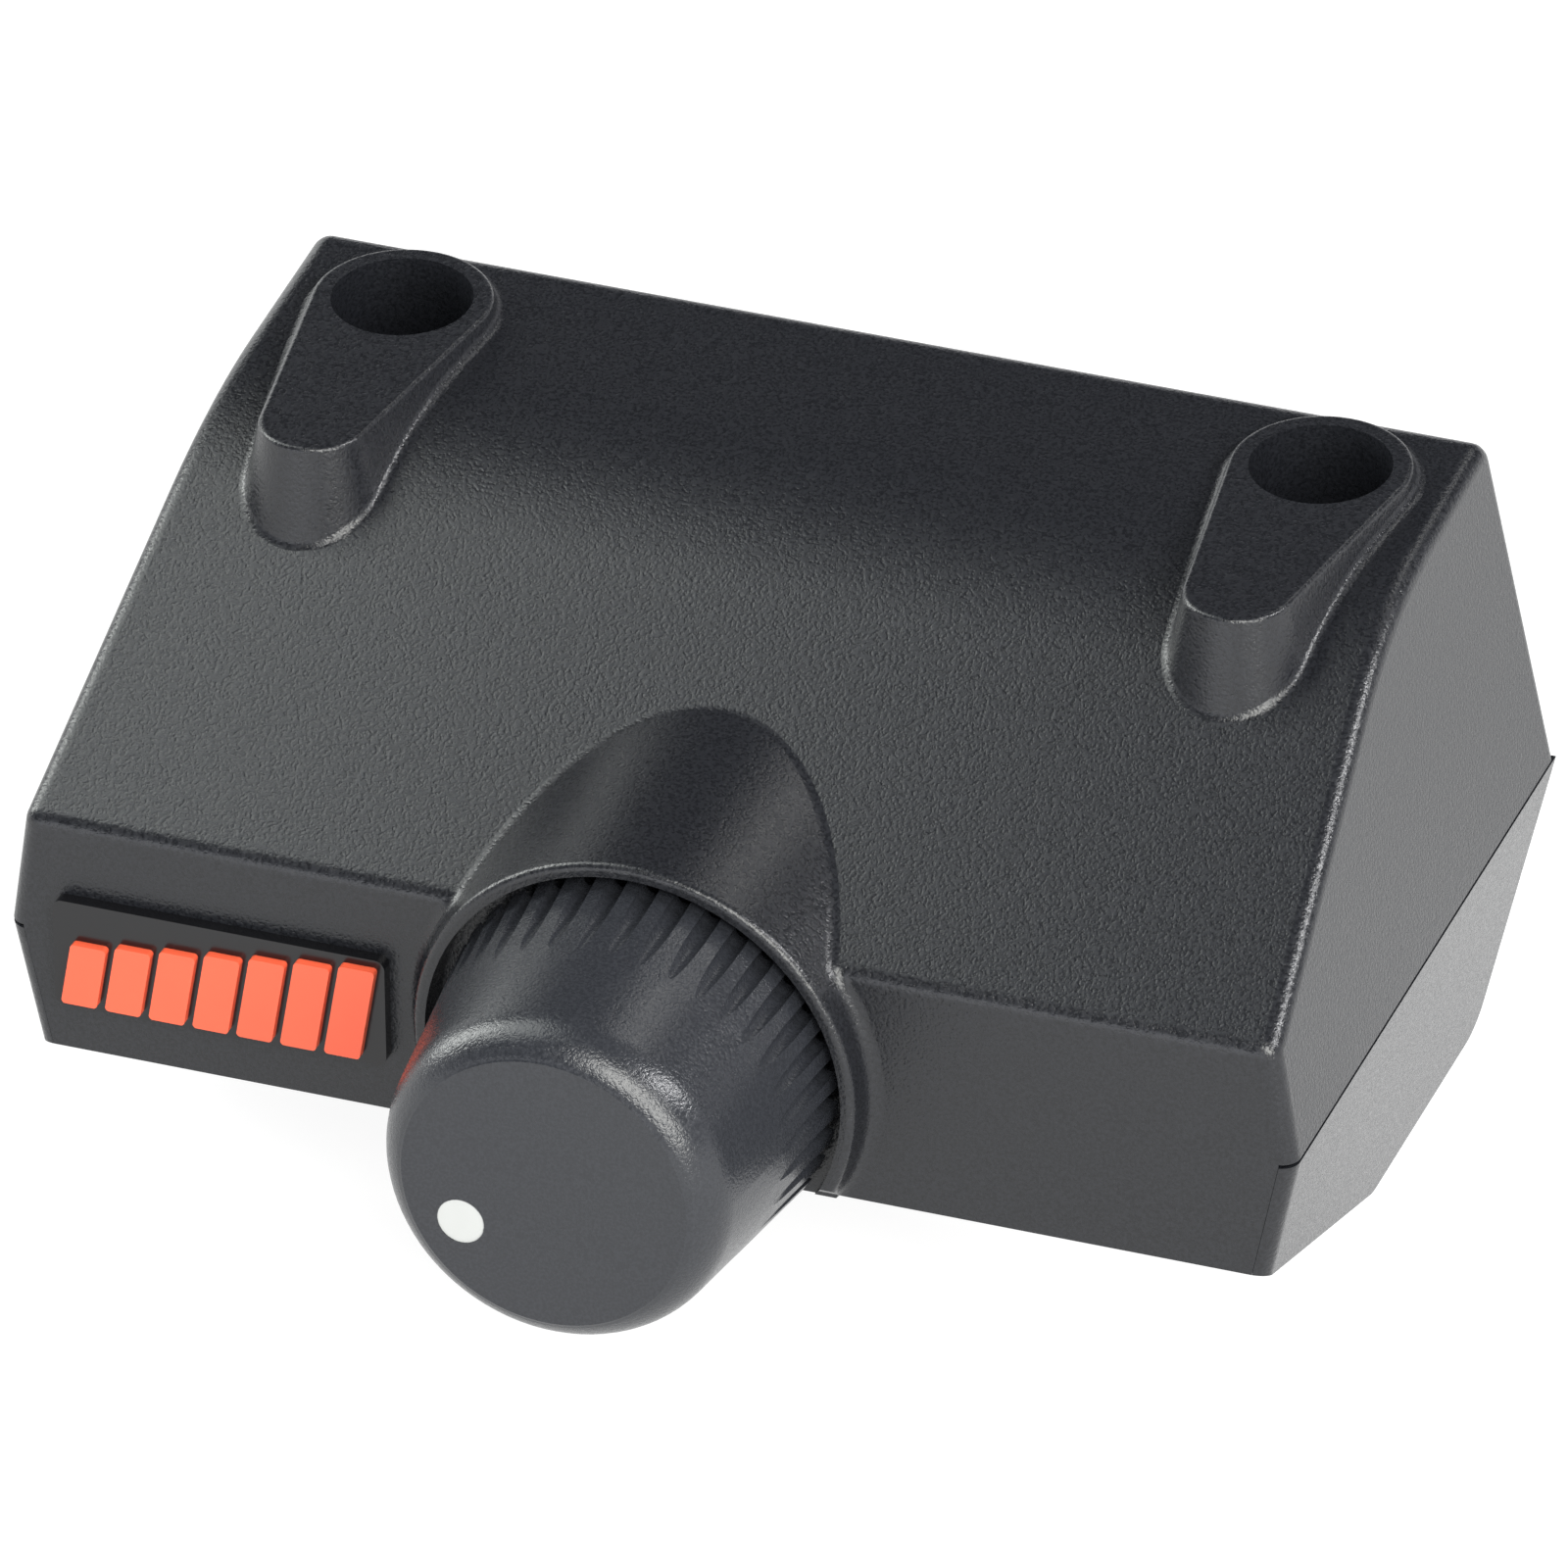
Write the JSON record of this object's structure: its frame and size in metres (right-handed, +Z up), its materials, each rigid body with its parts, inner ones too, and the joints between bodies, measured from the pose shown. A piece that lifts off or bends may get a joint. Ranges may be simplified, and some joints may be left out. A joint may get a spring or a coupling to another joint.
{
  "type": "dash-mount rotary control unit",
  "caption": "Wedge-shaped plastic control housing with a fluted rotary knob in a round collar at the front and a raised screw pad with a deep well at each side of the back.",
  "frame": {"origin": "midway between the axes of the two screw holes, on the flat base", "axes": "+Z up from the base along the screw holes, +X across the housing to the right as seen from the knob's side, +Y from the knob to the back"},
  "size_m": [0.066, 0.0516, 0.0341],
  "materials": {
    "housing_plastic": "fine-textured charcoal moulding",
    "knob_plastic": "smooth charcoal moulding",
    "mark_black": "smooth black",
    "mark_orange": "orange print",
    "dot_white": "white paint",
    "spring_steel": "hardened",
    "shaft_metal": "turned",
    "rotor_plastic": "natural",
    "contact_brass": "stamped",
    "plated_metal": "bright plated",
    "pot_plastic": "moulded",
    "wafer_board": "phenolic board",
    "resistive_ink": "carbon ink",
    "tinned_metal": "tinned",
    "board_laminate": "green solder mask",
    "screw_steel": "zinc plated",
    "jack_plastic": "moulded black",
    "contact_gold": "gold flashed",
    "chip_plastic": "moulded",
    "can_metal": "drawn can",
    "resistor_ceramic": "glazed chip"
  },
  "bodies": {
    "housing": {"upper_housing": "housing_plastic", "lower_housing": "housing_plastic", "mark_plate": "mark_black", "mark_bars": "mark_orange", "pot_bushing": "plated_metal", "pot_nut": "plated_metal", "pot_washer": "plated_metal", "pot_case": "pot_plastic", "pot_wafer": "wafer_board", "pot_track": "resistive_ink", "pot_terminals": "tinned_metal", "circuit_board": "board_laminate", "board_screws": "screw_steel", "jack_body": "jack_plastic", "jack_contacts": "contact_gold", "control_chip": "chip_plastic", "capacitor_cans": "can_metal", "capacitor_bases": "jack_plastic", "chip_resistors": "resistor_ceramic", "case_screws": "screw_steel"},
    "knob": {"knob": "knob_plastic", "knob_dot": "dot_white", "knob_clip": "spring_steel", "pot_shaft": "shaft_metal", "shaft_ring": "spring_steel", "pot_rotor": "rotor_plastic", "pot_wiper": "contact_brass"}
  },
  "joints": [
    {"name": "knob_turn", "type": "hinge", "parent": "housing", "child": "knob", "pos_m": [0, -0.0303, 0.01433], "axis": [0, 0.9994, -0.0349], "range_deg": [-30, 270]}
  ]
}
